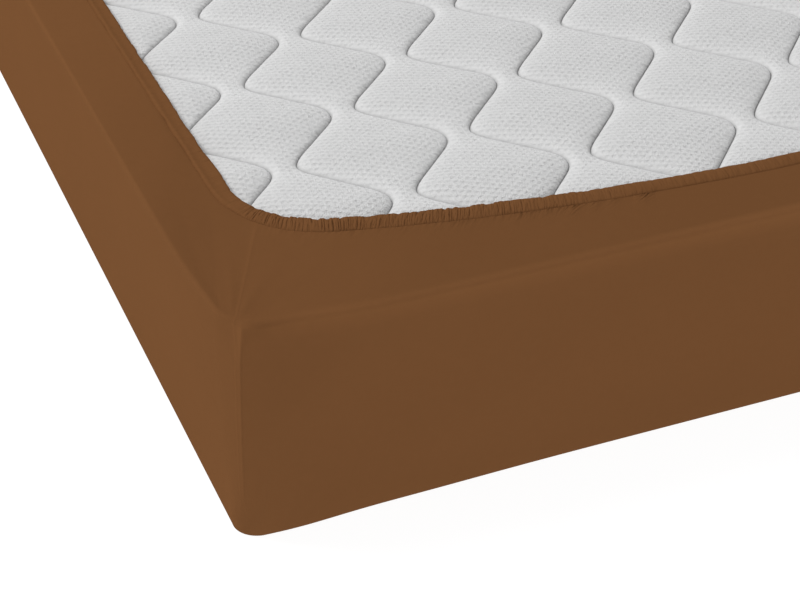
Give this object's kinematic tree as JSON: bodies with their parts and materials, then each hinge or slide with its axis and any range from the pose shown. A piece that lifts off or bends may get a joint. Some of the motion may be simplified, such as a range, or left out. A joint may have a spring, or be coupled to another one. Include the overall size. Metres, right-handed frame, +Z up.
{
  "type": "fitted sheet on a mattress",
  "caption": "Brown elasticated fitted sheet stretched over a mattress that lies face down, its gathered hem round an opening that shows the quilted white back.",
  "frame": {"origin": "middle of the flat underside, which is the sheet's main panel", "axes": "+Z up to the side with the opening, +Y along the bed, +X across it"},
  "size_m": [1.404, 2.0094, 0.255],
  "materials": {
    "brown_cloth": "matt, fine weave",
    "white_knit": "matt, quilted dimpled knit"
  },
  "bodies": {
    "root": {"fitted_sheet": "brown_cloth", "mattress": "white_knit"}
  },
  "joints": []
}
